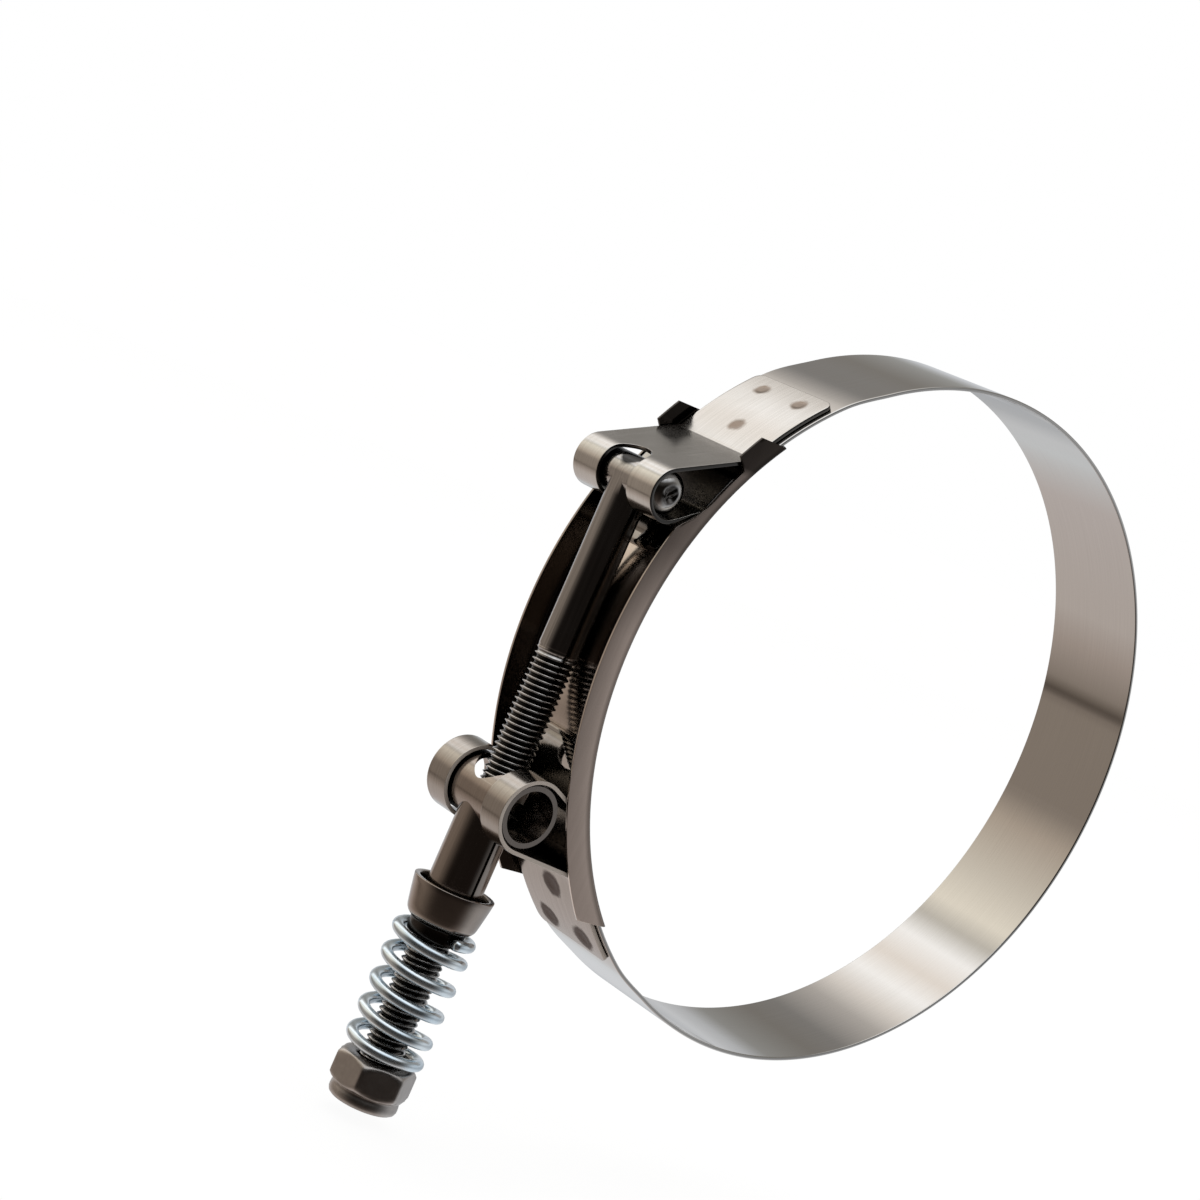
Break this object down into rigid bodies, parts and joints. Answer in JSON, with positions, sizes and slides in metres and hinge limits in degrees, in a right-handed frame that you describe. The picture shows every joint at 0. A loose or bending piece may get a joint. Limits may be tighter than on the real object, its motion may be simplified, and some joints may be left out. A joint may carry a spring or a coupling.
{
  "type": "t_bolt_clamp",
  "caption": "Spring-loaded T-bolt hose clamp: a thin steel band over a bridge, drawn shut by a bolt, trunnion, spring and lock nut",
  "frame": {"origin": "centre of the ring, on the hose's axis and half way across the band", "axes": "+Y along the hose, +Z along the bolt from the nut to the T-head, -X from the ring to the bolt"},
  "size_m": [0.1207, 0.0204, 0.1337],
  "materials": {
    "band_steel": "rolled stainless strip",
    "bridge_steel": "rolled stainless strip",
    "strap_steel": "bright stainless strip",
    "bolt_steel": "rolled-thread stainless",
    "trunnion_steel": "formed stainless sheet",
    "spring_zinc": "bright zinc-plated wire",
    "nut_steel": "plain stainless",
    "insert_nylon": "natural nylon"
  },
  "bodies": {
    "ring": {"band": "band_steel", "bridge": "bridge_steel", "bolt_saddle": "strap_steel"},
    "low_end": {"trunnion_saddle": "strap_steel"},
    "trunnion": {"trunnion": "trunnion_steel", "spring_cup": "trunnion_steel"},
    "bolt": {"t_bolt": "bolt_steel"},
    "spring": {"spring": "spring_zinc"},
    "nut": {"lock_nut": "nut_steel", "nut_insert": "insert_nylon"}
  },
  "joints": [
    {"name": "band_closing", "type": "hinge", "parent": "ring", "child": "low_end", "pos_m": [0, 0, 0], "axis": [0, 1, 0], "range_deg": [0, 14], "stiffness_Nm_per_rad": 0.13, "deforming": ["band"]},
    {"name": "trunnion_pivot", "type": "hinge", "parent": "low_end", "child": "trunnion", "pos_m": [-0.05878, 0, -0.0281], "axis": [0, 1, 0], "range_deg": [-6, 0]},
    {"name": "bolt_pivot", "type": "hinge", "parent": "ring", "child": "bolt", "pos_m": [-0.05878, 0, 0.0223], "axis": [0, 1, 0], "range_deg": [0, 8.1]},
    {"name": "spring_squeeze", "type": "slide", "parent": "trunnion", "child": "spring", "axis": [0, 0, 1], "range_m": [0, 0.008], "deforming": ["spring"]},
    {"name": "nut_turn", "type": "hinge", "parent": "spring", "child": "nut", "pos_m": [-0.05878, 0, -0.0746], "axis": [0, 0, 1], "range_deg": [0, 3175]}
  ],
  "couplings": [
    {"joint": "trunnion_pivot", "follows": "band_closing", "ratio": -0.425},
    {"joint": "bolt_pivot", "follows": "band_closing", "ratio": 0.575},
    {"joint": "nut_turn", "follows": "spring_squeeze", "rad_per_m": 6926.3}
  ]
}
